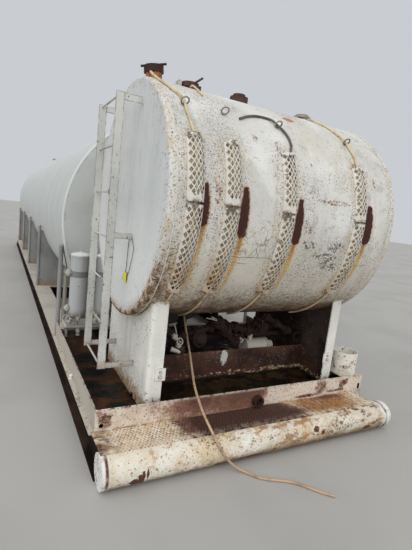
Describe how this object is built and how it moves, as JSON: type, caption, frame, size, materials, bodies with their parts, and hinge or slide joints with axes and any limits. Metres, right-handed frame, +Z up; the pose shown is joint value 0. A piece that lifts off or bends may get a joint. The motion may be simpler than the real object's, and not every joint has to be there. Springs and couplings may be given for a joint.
{
  "type": "horizontal tank skid",
  "caption": "Horizontal storage tanks on one steel skid, a short cross tank in front of a long tank, with drip pan, ladder, sight tubes under mesh guards and filter housings.",
  "frame": {"origin": "centre of the footprint on the ground, midway between the two end pipes and on the skid's centre line", "axes": "+X across the skid to the right as seen from the cross tank's end, +Y along the skid from the cross tank towards the long tank, +Z up"},
  "size_m": [2.438, 12.26, 2.6711],
  "materials": {
    "beam_rust": "satin",
    "pipe_cream": "satin",
    "tread_rust": "satin",
    "pan_cream": "satin",
    "pan_dark": "satin",
    "rust_brown": "matte",
    "white_paint": "satin",
    "head_paint": "satin",
    "grey_paint": "satin",
    "rusty_iron": "rough",
    "mesh": "satin",
    "bare_steel": "dull",
    "tube": "satin",
    "hose": "dull",
    "filter_grey": "satin",
    "lid_white": "satin"
  },
  "bodies": {
    "root": {"skid_beams": "beam_rust", "skid_cross_beams": "beam_rust", "front_pipe": "pipe_cream", "rear_pipe": "pipe_cream", "pipe_end_plates": "pipe_cream", "tread_plate": "tread_rust", "rear_tread_plate": "tread_rust", "pan_front_wall": "pan_cream", "pan_side_walls": "pan_cream", "pan_floor": "pan_dark", "drain_coupling": "rusty_iron", "corner_plate": "pan_cream", "post_socket": "white_paint", "deck_strips": "pan_cream", "sump_plate": "rust_brown", "saddle_left": "white_paint", "saddle_right": "white_paint", "tank_shell": "white_paint", "tank_head_left": "head_paint", "tank_head_right": "head_paint", "fill_necks": "pipe_cream", "fill_cap_1": "rusty_iron", "fill_cap_2": "rusty_iron", "fill_cap_3": "rusty_iron", "fill_cap_4": "bare_steel", "guard_1": "mesh", "guard_2": "mesh", "guard_3": "mesh", "guard_4": "mesh", "tube_rings": "bare_steel", "sight_tubes": "tube", "loose_hose": "hose", "ladder_rails": "white_paint", "ladder_rungs": "white_paint", "ladder_brackets": "white_paint", "outlet_stubs": "rusty_iron", "outlet_valves": "rusty_iron", "outlet_header": "rusty_iron", "pump": "grey_paint", "pump_stand": "rust_brown", "long_shell": "grey_paint", "long_head_front": "head_paint", "long_head_back": "head_paint", "long_saddles": "grey_paint", "side_posts": "grey_paint", "long_vent": "grey_paint", "filter_housings": "filter_grey", "filter_lids": "lid_white", "filter_manifolds": "grey_paint", "filter_valves": "bare_steel", "level_gauge": "bare_steel"}
  },
  "joints": []
}
